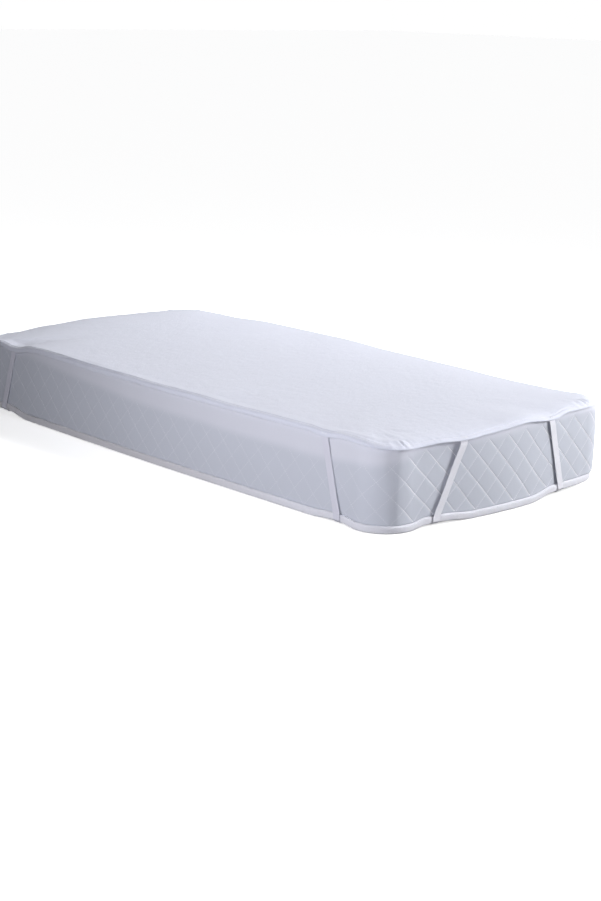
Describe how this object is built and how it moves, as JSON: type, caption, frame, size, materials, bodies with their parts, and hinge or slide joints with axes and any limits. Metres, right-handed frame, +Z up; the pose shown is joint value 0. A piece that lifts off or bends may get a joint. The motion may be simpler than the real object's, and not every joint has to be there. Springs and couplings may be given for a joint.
{
  "type": "waterproof mattress protector on a mattress",
  "caption": "White waterproof mattress protector laid flat over a mattress, held by elastic bands that cross each corner and pass under it.",
  "frame": {"origin": "centre of the mattress's footprint, on the surface it rests on", "axes": "+X along the mattress from its head end to its foot end, +Y across it from the near long side to the far one, +Z up"},
  "size_m": [1.9512, 0.9312, 0.2558],
  "materials": {
    "protector_cloth": "matt cotton towelling, bluish white",
    "mattress_border": "matt quilted fabric, pale grey-white",
    "edge_tape": "soft fleecy tape, white",
    "elastic": "ribbed woven elastic, white"
  },
  "bodies": {
    "root": {"mattress": "mattress_border", "mattress_edge_tape": "edge_tape", "protector_sheet": "protector_cloth", "strap_near_head": "elastic", "strap_near_foot": "elastic", "strap_far_foot": "elastic", "strap_far_head": "elastic"}
  },
  "joints": []
}
